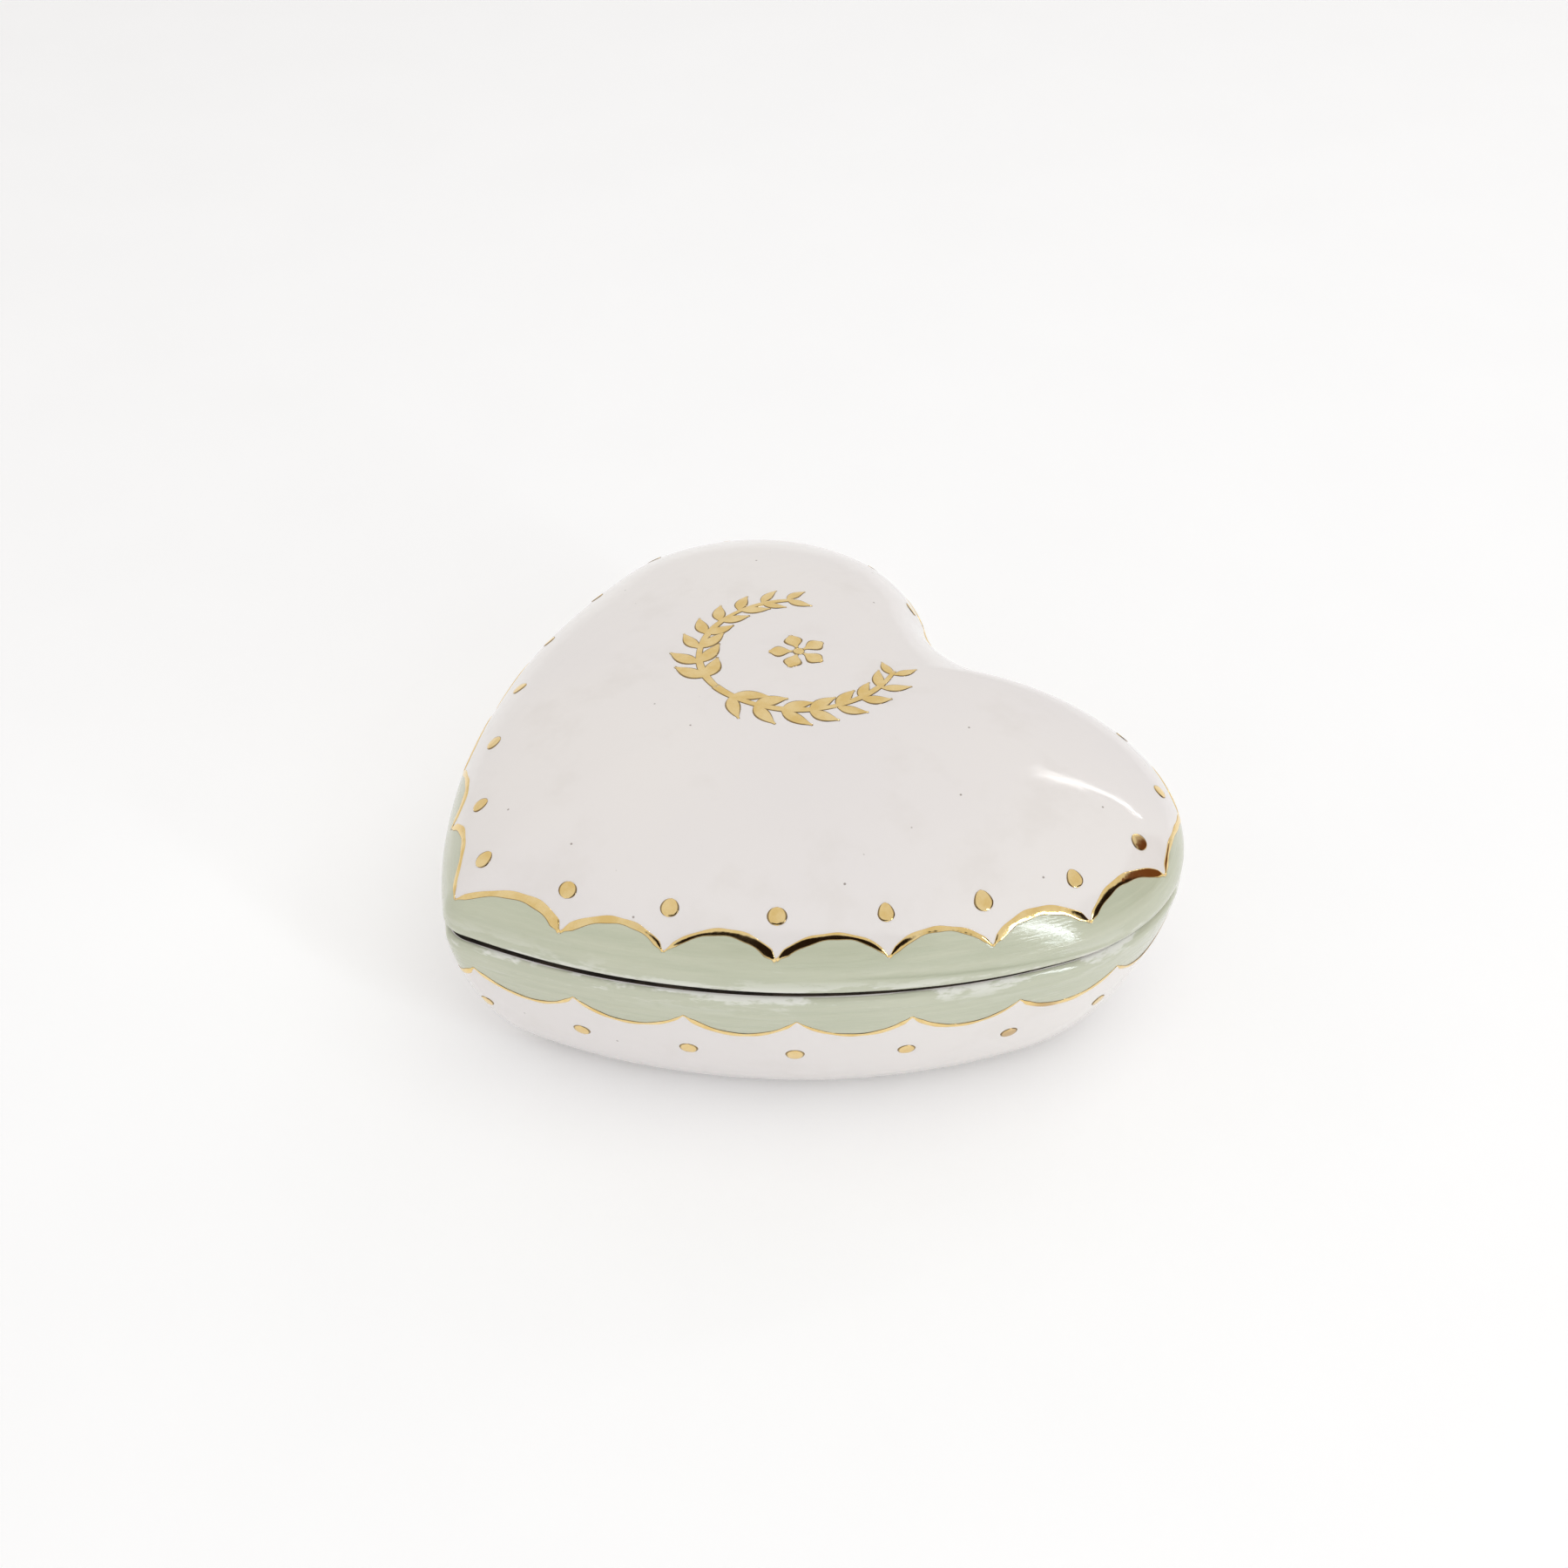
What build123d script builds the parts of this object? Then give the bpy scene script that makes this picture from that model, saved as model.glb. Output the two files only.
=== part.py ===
"""Heart-shaped porcelain trinket box: a bowl, a lift-off domed lid and their fired-on decoration.

Millimetres, +Z up. The origin is the centre of the box's footprint, on the surface that it stands on. The
heart's tip points along -Y and its cleft along +Y, and its two lobes lie along -X and +X.
"""
from build123d import *
from math import atan2, cos, degrees, exp, hypot, pi, sin, sqrt
import os

# ---- outline of the box at its widest: tangent arcs, the same on both sides ----
HALF_WIDTH = 55.0
LENGTH = 98.0
LOBE_R = 27.8
TIP_R = 4.5
FLANK_R = 101.5
CLEFT_R = 24.5

# ---- heights ----
SEAM_Z = 26.0
HEIGHT = 43.0
RIM_ROUND = 1.2

# ---- how a level differs from the outline: drawn in towards the crown, with a softer tip and cleft ----
CROWN_Y = 11.0
OFFSET_LIMIT = 3.0
TIP_SOFTENING = 4.0
CLEFT_SOFTENING = 4.0

# ---- the dome's and the bowl's profiles, as powers of a superellipse ----
DOME_SPREAD = 2.6
DOME_RISE = 1.9
BOWL_DROP = 1.3
FOOT_INSET = 14.0

# ---- walls ----
BASE_WALL = 3.4
BASE_FLOOR = 4.0
FOOT_RING_WIDTH = 4.5
FOOT_RECESS = 1.2
LID_WALL = 3.2
FLANGE_CLEARANCE = 0.6
FLANGE_WIDTH = 2.0
FLANGE_DEPTH = 3.0
FLANGE_ROOT = 2.0
LID_TILT = 0.5
CUT = 1.0

# ---- decoration: heights and depths are measured from the seam ----
SCALLOPS = 22
LID_CUSP = 4.9
LID_DOT = 8.9
BASE_CUSP = 4.4
BASE_DOT = 12.7
BASE_SHIFT = 3.0
ARCH_RISE = 3.4
LID_LINE = 1.1
BASE_LINE = 0.8
DOT_R = 1.1
BAND_EDGE = 1.3
GREEN_PROUD = 0.2
GOLD_PROUD = 0.3
SUNK = 0.25
TOOL_REACH = 4.0

# ---- gold emblem: two mirrored leaf sprigs around a blossom ----
EMBLEM_X = -5.0
EMBLEM_Y = 13.0
STEM_R = 14.5
STEM_WIDTH = 1.0
STEM_END = 124.0
LEAF_PAIRS = 8
LEAF_LENGTH = 5.6
LEAF_WIDTH = 2.2
LEAF_SHRINK = 0.3
LEAF_SPREAD = 36.0
PETALS = 5
PETAL_R = 1.7
PETAL_REACH = 2.6

LOBE = Vector(HALF_WIDTH - LOBE_R, LENGTH / 2 - LOBE_R)
CROWN = Vector(0, CROWN_Y)
LID_SHOULDER = SEAM_Z + RIM_ROUND
BASE_SHOULDER = SEAM_Z - RIM_ROUND
FLANGE_OUT = BASE_WALL + FLANGE_CLEARANCE
FLANGE_IN = FLANGE_OUT + FLANGE_WIDTH
SEAT = Axis((0, LENGTH / 2, SEAM_Z), (1, 0, 0))


def heading(start, end):
    """The direction from start to end, in radians."""
    return atan2(end.Y - start.Y, end.X - start.X)


def outline_arcs(drawn_in, soften):
    """The right half of the outline, from tip to cleft: each arc's centre, radius, first angle and sweep."""
    lobe_r = LOBE_R - drawn_in
    tip_r = TIP_R + TIP_SOFTENING * soften
    flank_r = FLANK_R - drawn_in
    cleft_r = CLEFT_R + drawn_in + CLEFT_SOFTENING * soften
    tip = Vector(0, drawn_in + tip_r - LENGTH / 2)
    cleft = Vector(0, LOBE.Y + sqrt((lobe_r + cleft_r) ** 2 - LOBE.X**2))
    # The flank arc touches the lobe's and the tip's from outside, so its centre is where two circles cross.
    to_lobe = flank_r - lobe_r
    to_tip = flank_r - tip_r
    span = (tip - LOBE).length
    along = (to_lobe**2 - to_tip**2 + span**2) / (2 * span)
    aside = sqrt(to_lobe**2 - along**2)
    forward = (tip - LOBE) / span
    flank = LOBE + forward * along + Vector(forward.Y, -forward.X) * aside
    tip_end = heading(flank, tip)
    flank_end = heading(flank, LOBE)
    lobe_end = heading(LOBE, cleft)
    cleft_start = heading(cleft, LOBE)
    return [
        (tip, tip_r, -pi / 2, tip_end + pi / 2),
        (flank, flank_r, tip_end, flank_end - tip_end),
        (LOBE, lobe_r, flank_end, lobe_end - flank_end),
        (cleft, cleft_r, cleft_start, -pi / 2 - cleft_start),
    ]


def level_arcs(inset):
    """The arcs of the level whose widest point lies inset from the box's own."""
    drawn_in = OFFSET_LIMIT * (1 - exp(-inset / OFFSET_LIMIT))
    scale = (HALF_WIDTH - inset) / (HALF_WIDTH - drawn_in)
    arcs = outline_arcs(drawn_in, inset / HALF_WIDTH)
    return [(CROWN + (centre - CROWN) * scale, r * scale, start, sweep) for centre, r, start, sweep in arcs]


def on_arc(arc, fraction):
    """The point a fraction of the way along an arc."""
    centre, radius, start, sweep = arc
    angle = start + sweep * fraction
    return centre + Vector(cos(angle), sin(angle)) * radius


def heart(z, inset):
    """One level of the box as a sketch."""
    with BuildSketch(Plane.XY.offset(z)) as level:
        with BuildLine():
            for arc in level_arcs(inset):
                ThreePointArc(on_arc(arc, 0), on_arc(arc, 0.5), on_arc(arc, 1))
            mirror(about=Plane.YZ)
        make_face()
    return level.sketch


def casting(profile, crown=None):
    """The solid through a list of levels, each a height and an inset, closed at the crown if one is given."""
    sections = [heart(z, inset) for z, inset in profile]
    if crown is not None:
        sections.append(Vertex(CROWN.X, CROWN.Y, crown))
    with BuildPart() as body:
        loft(sections=sections)
    return body.part


def lid_inset(z):
    """Inset of the lid's outside at height z."""
    if z < LID_SHOULDER:
        return RIM_ROUND - sqrt(RIM_ROUND**2 - (LID_SHOULDER - z) ** 2)
    rise = (z - LID_SHOULDER) / (HEIGHT - LID_SHOULDER)
    return HALF_WIDTH * (1 - (1 - rise**DOME_RISE) ** (1 / DOME_SPREAD))


def base_inset(z):
    """Inset of the bowl's outside at height z."""
    if z > BASE_SHOULDER:
        return RIM_ROUND - sqrt(RIM_ROUND**2 - (z - BASE_SHOULDER) ** 2)
    drop = (BASE_SHOULDER - z) / BASE_SHOULDER
    return FOOT_INSET * (1 - sqrt(1 - drop**BOWL_DROP))


def rim_profile(direction):
    """The quarter round from the rim's face to its side: up for the lid, down for the bowl."""
    turns = [pi / 2 * step / 4 for step in range(5)]
    return [(SEAM_Z + direction * RIM_ROUND * (1 - cos(turn)), RIM_ROUND * (1 - sin(turn))) for turn in turns]


def dome_profile(edge, top):
    """A dome from its edge at the lid's shoulder to just below its crown."""
    shares = [1.0, 0.996, 0.985, 0.95, 0.9, 0.83, 0.74, 0.62, 0.48, 0.32, 0.16]
    rise = top - LID_SHOULDER
    return [
        (LID_SHOULDER + rise * (1 - t**DOME_SPREAD) ** (1 / DOME_RISE), edge + (HALF_WIDTH - edge) * (1 - t))
        for t in shares
    ]


def bowl_profile(edge, bottom, top):
    """A bowl's side, from bottom to top, that starts edge in from the outline."""
    drops = [1.0, 0.985, 0.94, 0.87, 0.78, 0.66, 0.5, 0.32, 0.17, 0.07, 0.0]
    return [(top - (top - bottom) * drop, edge + FOOT_INSET * (1 - sqrt(1 - drop**BOWL_DROP))) for drop in drops]


def raised(levels, inset_at, proud):
    """The levels' profile moved out along its own normal."""
    moved = []
    for z in levels:
        lean = (inset_at(z + 0.01) - inset_at(z - 0.01)) / 0.02
        steep = hypot(1, lean)
        moved.append((z + proud * lean / steep, inset_at(z) - proud / steep))
    return moved


def skin(levels, inset_at, proud):
    """A thin layer over the levels, proud of the surface and sunk a little into it."""
    with BuildPart() as layer:
        add(casting(raised(levels, inset_at, proud)))
        add(casting(raised(levels, inset_at, -SUNK)), mode=Mode.SUBTRACT)
    return layer.part


def arc_lengths():
    """The lengths of the outline's arcs from tip to cleft."""
    return [radius * abs(sweep) for _, radius, _, sweep in level_arcs(0)]


PITCH = 2 * sum(arc_lengths()) / SCALLOPS
ARCH_R = (PITCH**2 / 4 + ARCH_RISE**2) / (2 * ARCH_RISE)


def surface_plane(distance, z, inset_at):
    """The plane that touches the box at a distance along the outline from its tip, facing out."""
    lengths = arc_lengths()
    half = sum(lengths)
    distance = (distance + half) % (2 * half) - half
    side = -1 if distance < 0 else 1
    left = abs(distance)
    number = 0
    while number < 3 and left > lengths[number]:
        left -= lengths[number]
        number += 1
    fraction = left / lengths[number]

    def point(share, height):
        flat = on_arc(level_arcs(inset_at(height))[number], share)
        return Vector(side * flat.X, flat.Y, height)

    along = (point(fraction + 0.01, z) - point(fraction - 0.01, z)) * side
    upward = point(fraction, z + 0.01) - point(fraction, z - 0.01)
    return Plane(origin=point(fraction, z), x_dir=along, z_dir=along.cross(upward))


def arches(z, inset_at, shift, direction, line=0):
    """A ring of arches across the surface, whole, or only as wide as a line along their edge."""
    planes = [surface_plane((number + 0.5) * PITCH + shift, z, inset_at) for number in range(SCALLOPS)]
    with BuildPart() as ring:
        with BuildSketch(*planes):
            with Locations((0, direction * (ARCH_RISE - ARCH_R))):
                Circle(ARCH_R + line / 2)
                if line:
                    Circle(ARCH_R - line / 2, mode=Mode.SUBTRACT)
            with Locations((0, direction * ARCH_RISE / 2)):
                Rectangle(PITCH + line, ARCH_RISE + 2 * max(line, 1), mode=Mode.INTERSECT)
        extrude(amount=TOOL_REACH, both=True)
    return ring.part


def dots(z, inset_at, shift):
    """A ring of round dots, one in line with each scallop's point."""
    planes = [surface_plane(number * PITCH + shift, z, inset_at).offset(-SUNK) for number in range(SCALLOPS)]
    with BuildPart() as ring:
        with BuildSketch(*planes):
            Circle(DOT_R)
        extrude(amount=SUNK + GOLD_PROUD)
    return ring.part


# ---- the bowl ----
with BuildPart() as base_bowl:
    add(casting(bowl_profile(0, 0, BASE_SHOULDER)))
    add(casting(rim_profile(-1)))
    add(casting(bowl_profile(BASE_WALL, BASE_FLOOR, SEAM_Z) + [(SEAM_Z + CUT, BASE_WALL)]), mode=Mode.SUBTRACT)
    extrude(heart(0, FOOT_INSET + FOOT_RING_WIDTH), amount=FOOT_RECESS, mode=Mode.SUBTRACT)

# ---- the lid, with the flange that locates it inside the bowl's rim ----
with BuildPart() as lid_shell:
    add(casting(dome_profile(0, HEIGHT), HEIGHT))
    add(casting(rim_profile(1)))
    extrude(heart(SEAM_Z - FLANGE_DEPTH, FLANGE_OUT), amount=FLANGE_DEPTH + FLANGE_ROOT)
    extrude(heart(SEAM_Z - FLANGE_DEPTH, FLANGE_IN), amount=FLANGE_DEPTH + RIM_ROUND, mode=Mode.SUBTRACT)
    add(casting(dome_profile(FLANGE_IN, HEIGHT - LID_WALL), HEIGHT - LID_WALL), mode=Mode.SUBTRACT)

# ---- green glaze, scalloped away from the seam ----
LID_LEVELS = [SEAM_Z + rise for rise in (1.25, 3.0, 5.0, 7.0, 9.0, 11.0)]
BASE_LEVELS = [SEAM_Z - drop for drop in (11.0, 9.0, 7.0, 5.0, 3.0, 1.25)]

with BuildPart() as lid_green_glaze_band:
    extrude(heart(SEAM_Z + BAND_EDGE, -TOOL_REACH), amount=LID_CUSP - BAND_EDGE)
    add(arches(SEAM_Z + LID_CUSP, lid_inset, 0, 1))
    add(skin(LID_LEVELS, lid_inset, GREEN_PROUD), mode=Mode.INTERSECT)

with BuildPart() as base_green_glaze_band:
    extrude(heart(SEAM_Z - BASE_CUSP, -TOOL_REACH), amount=BASE_CUSP - BAND_EDGE)
    add(arches(SEAM_Z - BASE_CUSP, base_inset, BASE_SHIFT, -1))
    add(skin(BASE_LEVELS, base_inset, GREEN_PROUD), mode=Mode.INTERSECT)

# ---- gold lines along the scallops ----
with BuildPart() as lid_gold_scallops:
    add(arches(SEAM_Z + LID_CUSP, lid_inset, 0, 1, LID_LINE))
    add(skin(LID_LEVELS, lid_inset, GOLD_PROUD), mode=Mode.INTERSECT)

with BuildPart() as base_gold_scallops:
    add(arches(SEAM_Z - BASE_CUSP, base_inset, BASE_SHIFT, -1, BASE_LINE))
    add(skin(BASE_LEVELS, base_inset, GOLD_PROUD), mode=Mode.INTERSECT)

# ---- gold dots ----
with BuildPart() as lid_gold_dots:
    add(dots(SEAM_Z + LID_DOT, lid_inset, 0))

with BuildPart() as base_gold_dots:
    add(dots(SEAM_Z - BASE_DOT, base_inset, BASE_SHIFT))

# ---- gold emblem on the crown ----
with BuildSketch() as emblem:
    with BuildLine():
        CenterArc((0, 0), STEM_R, -90, STEM_END)
    trace(line_width=STEM_WIDTH)
    for number in range(LEAF_PAIRS):
        share = (number + 0.8) / LEAF_PAIRS
        turn = STEM_END * share
        length = LEAF_LENGTH * (1 - LEAF_SHRINK * share)
        width = LEAF_WIDTH * (1 - LEAF_SHRINK * share)
        foot = Vector(STEM_R, 0).rotate(Axis.Z, turn - 90)
        for spread in (-LEAF_SPREAD, LEAF_SPREAD):
            leaf = Plane(origin=foot, x_dir=Vector(1, 0).rotate(Axis.Z, turn + spread))
            with BuildLine(leaf):
                ThreePointArc((0, 0), (length / 2, width / 2), (length, 0))
                ThreePointArc((length, 0), (length / 2, -width / 2), (0, 0))
            make_face()
    mirror(about=Plane.YZ)
    Circle(PETAL_R)
    with PolarLocations(PETAL_REACH, PETALS, start_angle=90):
        Circle(PETAL_R)

with BuildPart() as lid_gold_emblem:
    extrude(emblem.sketch.moved(Location((EMBLEM_X, EMBLEM_Y, SEAM_Z))), amount=HEIGHT)
    cap = [LID_SHOULDER + (HEIGHT - LID_SHOULDER) * rise for rise in (0.3, 0.5, 0.7, 0.85, 0.94, 0.98, 0.995)]
    add(casting(raised(cap, lid_inset, GOLD_PROUD), HEIGHT + GOLD_PROUD), mode=Mode.INTERSECT)
    add(casting(raised(cap, lid_inset, -SUNK), HEIGHT - SUNK), mode=Mode.SUBTRACT)

# ---- the lid rests on its two lobes, a little open at the tip ----
base_pieces = {
    "base_bowl": base_bowl,
    "base_green_glaze_band": base_green_glaze_band,
    "base_gold_scallops": base_gold_scallops,
    "base_gold_dots": base_gold_dots,
}
lid_pieces = {
    "lid_shell": lid_shell,
    "lid_green_glaze_band": lid_green_glaze_band,
    "lid_gold_scallops": lid_gold_scallops,
    "lid_gold_dots": lid_gold_dots,
    "lid_gold_emblem": lid_gold_emblem,
}
os.makedirs("parts", exist_ok=True)
for name, piece in base_pieces.items():
    piece.part.label = name
    export_step(piece.part, f"parts/{name}.step")
for name, piece in lid_pieces.items():
    seated = piece.part.rotate(SEAT, -LID_TILT)
    seated.label = name
    export_step(seated, f"parts/{name}.step")
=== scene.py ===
"""Heart-shaped porcelain trinket box: glazed castings with brushed-on green glaze and gold lustre."""

import bmesh
import bpy
import numpy as np
from math import cos, pi, radians, sin
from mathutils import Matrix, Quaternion, Vector
from mathutils.bvhtree import BVHTree


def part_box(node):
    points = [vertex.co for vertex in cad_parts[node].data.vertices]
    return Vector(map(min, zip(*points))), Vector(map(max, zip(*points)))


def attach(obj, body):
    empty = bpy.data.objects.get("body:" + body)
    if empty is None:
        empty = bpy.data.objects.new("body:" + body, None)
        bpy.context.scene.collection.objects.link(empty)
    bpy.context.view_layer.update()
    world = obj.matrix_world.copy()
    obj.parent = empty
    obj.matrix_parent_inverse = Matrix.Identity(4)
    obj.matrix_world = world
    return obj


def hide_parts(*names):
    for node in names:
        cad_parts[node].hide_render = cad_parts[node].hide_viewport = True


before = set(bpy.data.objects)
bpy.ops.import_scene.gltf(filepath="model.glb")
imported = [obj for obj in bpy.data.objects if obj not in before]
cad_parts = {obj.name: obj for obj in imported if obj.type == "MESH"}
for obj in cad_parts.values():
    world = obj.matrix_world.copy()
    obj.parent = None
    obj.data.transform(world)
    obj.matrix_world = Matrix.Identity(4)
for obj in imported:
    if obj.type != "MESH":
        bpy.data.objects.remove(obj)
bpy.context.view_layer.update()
base_low, base_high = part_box("base_bowl")
MM = 0.001

# ---- the castings, in millimetres, as the CAD has them ----
HALF_WIDTH = base_high.x / MM
LENGTH = (base_high.y - base_low.y) / MM
SEAM_Z = base_high.z / MM
HEIGHT = 43.0
LOBE_R = 27.8
TIP_R = 4.5
FLANK_R = 101.5
CLEFT_R = 24.5
LOBE_X = HALF_WIDTH - LOBE_R
LOBE_Y = LENGTH / 2 - LOBE_R
CROWN_Y = 11.0
OFFSET_LIMIT = 3.0
TIP_SOFTENING = 4.0
CLEFT_SOFTENING = 4.0
RIM_ROUND = 1.2
DOME_SPREAD = 2.6
DOME_RISE = 1.9
BOWL_DROP = 1.3
FOOT_INSET = 14.0
FOOT_RING_WIDTH = 4.5
FOOT_RECESS = 1.2
BASE_WALL = 3.4
BASE_FLOOR = 4.0
LID_WALL = 3.2
FLANGE_OUT = 4.0
FLANGE_IN = 6.0
FLANGE_DEPTH = 3.0
LID_TILT = radians(0.58)
LID_SHOULDER = SEAM_Z + RIM_ROUND
BASE_SHOULDER = SEAM_Z - RIM_ROUND
CAST_PUSH = (0.10, 0.10, 0.07)
FOOT_FADE = 8.0
SEAT_TURNS = 2
STATIONS = 900

# ---- decoration, in millimetres ----
SCALLOPS = 22
ARCH_RISE = 3.4
LID_CUSP = 4.9
LID_DOT = 8.9
BASE_CUSP = 4.4
BASE_DOT = 12.7
BASE_SHIFT = 3.0
LID_LINE = 1.1
BASE_LINE = 0.8
DOT_R = 1.1
GREEN_LIFT = 0.06
RUN_LIFT = 0.13
GREEN_START = 0.36
GOLD_LIFT = 0.11
SUNK = 0.25
FAR_LINE = 0.56
FAR_DOT = 0.74
EMBLEM_X = -5.0
EMBLEM_Y = 13.0
STEM_R = 14.5
STEM_END = 124.0
LEAF_PAIRS = 8

rng = np.random.default_rng(7)


# ---- the box's form ----
def level_xy(number, share, side, inset):
    """Points of the outline drawn in by inset: arc 0 to 3 from tip to cleft, share along it, and side."""
    drawn = OFFSET_LIMIT * (1 - np.exp(-inset / OFFSET_LIMIT))
    scale = (HALF_WIDTH - inset) / (HALF_WIDTH - drawn)
    lobe_r = LOBE_R - drawn
    tip_r = TIP_R + TIP_SOFTENING * inset / HALF_WIDTH
    flank_r = FLANK_R - drawn
    cleft_r = CLEFT_R + drawn + CLEFT_SOFTENING * inset / HALF_WIDTH
    tip_y = drawn + tip_r - LENGTH / 2
    cleft_y = LOBE_Y + np.sqrt((lobe_r + cleft_r) ** 2 - LOBE_X**2)
    span = np.hypot(LOBE_X, tip_y - LOBE_Y)
    to_lobe = flank_r - lobe_r
    to_tip = flank_r - tip_r
    along = (to_lobe**2 - to_tip**2 + span**2) / (2 * span)
    aside = np.sqrt(to_lobe**2 - along**2)
    forward_x = -LOBE_X / span
    forward_y = (tip_y - LOBE_Y) / span
    flank_x = LOBE_X + forward_x * along + forward_y * aside
    flank_y = LOBE_Y + forward_y * along - forward_x * aside
    tip_end = np.arctan2(tip_y - flank_y, -flank_x)
    flank_end = np.arctan2(LOBE_Y - flank_y, LOBE_X - flank_x)
    lobe_end = np.arctan2(cleft_y - LOBE_Y, -LOBE_X)
    cleft_start = np.arctan2(LOBE_Y - cleft_y, LOBE_X)
    zero = np.zeros_like(drawn)
    first = np.choose(number, [zero - pi / 2, tip_end, flank_end, cleft_start])
    last = np.choose(number, [tip_end, flank_end, lobe_end, zero - pi / 2])
    radius = np.choose(number, [tip_r, flank_r, lobe_r, cleft_r])
    centre_x = np.choose(number, [zero, flank_x, zero + LOBE_X, zero])
    centre_y = np.choose(number, [tip_y, flank_y, zero + LOBE_Y, cleft_y])
    angle = first + (last - first) * share
    x = side * (centre_x + radius * np.cos(angle)) * scale
    y = CROWN_Y + (centre_y + radius * np.sin(angle) - CROWN_Y) * scale
    return x, y


def arc_lengths():
    """Lengths of the outline's four arcs, from tip to cleft, found by walking along them."""
    walk = np.linspace(0, 1, 201)
    lengths = []
    for number in range(4):
        x, y = level_xy(np.full(201, number), walk, 1.0, np.zeros(201))
        lengths.append(np.hypot(np.diff(x), np.diff(y)).sum())
    return np.array(lengths)


LENGTHS = arc_lengths()
ENDS = np.concatenate([[0], np.cumsum(LENGTHS)])
HALF = ENDS[-1]
PITCH = 2 * HALF / SCALLOPS


def station(distance):
    """Arc number, share and side of each distance along the outline from the tip."""
    wrapped = (distance + HALF) % (2 * HALF) - HALF
    walked = np.minimum(np.abs(wrapped), HALF - 1e-9)
    number = np.searchsorted(ENDS, walked, side="right") - 1
    share = (walked - ENDS[number]) / LENGTHS[number]
    return number, share, np.where(wrapped < 0, -1.0, 1.0)


def cast(points):
    """The slight unevenness of a slip casting, the same for every layer at one place, fading at the foot."""
    x, y, z = points.T / 10
    push = np.stack(
        [
            np.sin(0.9 * y + 1.1 * z + 0.4) + 0.6 * np.sin(2.1 * y - 1.3 * x + 1.0),
            np.sin(1.0 * x - 0.7 * z + 2.0) + 0.6 * np.sin(1.9 * x + 1.2 * y),
            0.7 * np.sin(0.8 * x + 1.2 * y + 0.5) + 0.5 * np.sin(2.3 * x - 1.7 * y + 2.6),
        ],
        axis=1,
    )
    push[:, 2] *= np.clip(points[:, 2] / FOOT_FADE, 0, 1)
    return points + push * CAST_PUSH


def seated(points):
    """Lid points turned about the cleft's end of the seam, so that the lid gapes a little at the tip."""
    y = points[:, 1] - LENGTH / 2
    z = points[:, 2] - SEAM_Z
    turned = points.copy()
    turned[:, 1] = LENGTH / 2 + y * cos(LID_TILT) + z * sin(LID_TILT)
    turned[:, 2] = SEAM_Z - y * sin(LID_TILT) + z * cos(LID_TILT)
    return turned


def dome_curve(edge, top, steps):
    """Height and inset up a dome from the lid's shoulder to near its crown."""
    turn = np.linspace(0, pi / 2 - 0.002, steps)
    z = LID_SHOULDER + (top - LID_SHOULDER) * np.sin(turn) ** (2 / DOME_RISE)
    return np.stack([z, edge + (HALF_WIDTH - edge) * (1 - np.cos(turn) ** (2 / DOME_SPREAD))], axis=1)


def bowl_curve(edge, bottom, top, steps):
    """Height and inset down a bowl's side from its shoulder to its bottom."""
    turn = np.linspace(0, pi / 2, steps)
    z = top - (top - bottom) * np.sin(turn) ** (2 / BOWL_DROP)
    return np.stack([z, edge + FOOT_INSET * (1 - np.cos(turn))], axis=1)


def quarter(z, inset, radius, first, steps=7):
    """A quarter circle of a profile about (z, inset), from the angle first, a quarter turn on."""
    turn = np.radians(np.linspace(first, first + 90, steps))
    return np.stack([z + radius * np.sin(turn), inset + radius * np.cos(turn)], axis=1)


class Skin:
    """The outside of one casting, addressed by distance along the outline and distance up from the rim."""

    def __init__(self, curve, lid):
        self.z = curve[:, 0]
        self.inset = curve[:, 1]
        steps = np.hypot(np.diff(self.z), np.diff(self.inset))
        self.walk = np.concatenate([[0], np.cumsum(steps)])
        self.lid = lid

    def reach(self, rise):
        """Distance from the rim, along the surface, of the level that lies rise from the seam."""
        return float(np.interp(rise, np.abs(self.z - SEAM_Z), self.walk))

    def raw(self, along, up):
        inset = np.interp(up, self.walk, self.inset)
        x, y = level_xy(*station(along), inset)
        points = cast(np.stack([x, y, np.interp(up, self.walk, self.z)], axis=1))
        return seated(points) if self.lid else points

    def at(self, along, up, lift):
        """Points on the skin, each lifted off it along its normal."""
        along, up, lift = np.broadcast_arrays(np.asarray(along, float), up, lift)
        step = 0.05
        across = self.raw(along + step, up) - self.raw(along - step, up)
        upward = self.raw(along, up + step) - self.raw(along, up - step)
        normal = np.cross(across, upward) * (1 if self.lid else -1)
        normal /= np.linalg.norm(normal, axis=1)[:, None]
        return self.raw(along, up) + normal * lift[:, None]

    def grid_at(self, along, up):
        """At one place, how long a step along the outline is, and how far a step up leans and climbs."""
        step = 0.5
        here, beside, above = self.raw(along + step * np.array([0, 1, 0]), up + step * np.array([0, 0, 1]))
        across = (beside - here) / step
        upward = (above - here) / step
        stretch = np.linalg.norm(across)
        slant = across @ upward / stretch
        return stretch, slant, np.sqrt(upward @ upward - slant**2)

    def around(self, along, up, flat):
        """Where on the skin points lie that are given in true millimetres across and up from one place."""
        stretch, slant, climb = self.grid_at(along, up)
        rise = flat[:, 1] / climb
        return along + (flat[:, 0] - rise * slant) / stretch, up + rise


rim_turns = quarter(LID_SHOULDER, RIM_ROUND, RIM_ROUND, -90, 12)
rim_turns[:, 1] = 2 * RIM_ROUND - rim_turns[:, 1]
lid_skin = Skin(np.vstack([rim_turns[:-1], dome_curve(0, HEIGHT, 90)]), True)
base_turns = rim_turns.copy()
base_turns[:, 0] = 2 * SEAM_Z - base_turns[:, 0]
base_skin = Skin(np.vstack([base_turns[:-1], bowl_curve(0, 0, BASE_SHOULDER, 60)]), False)


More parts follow.
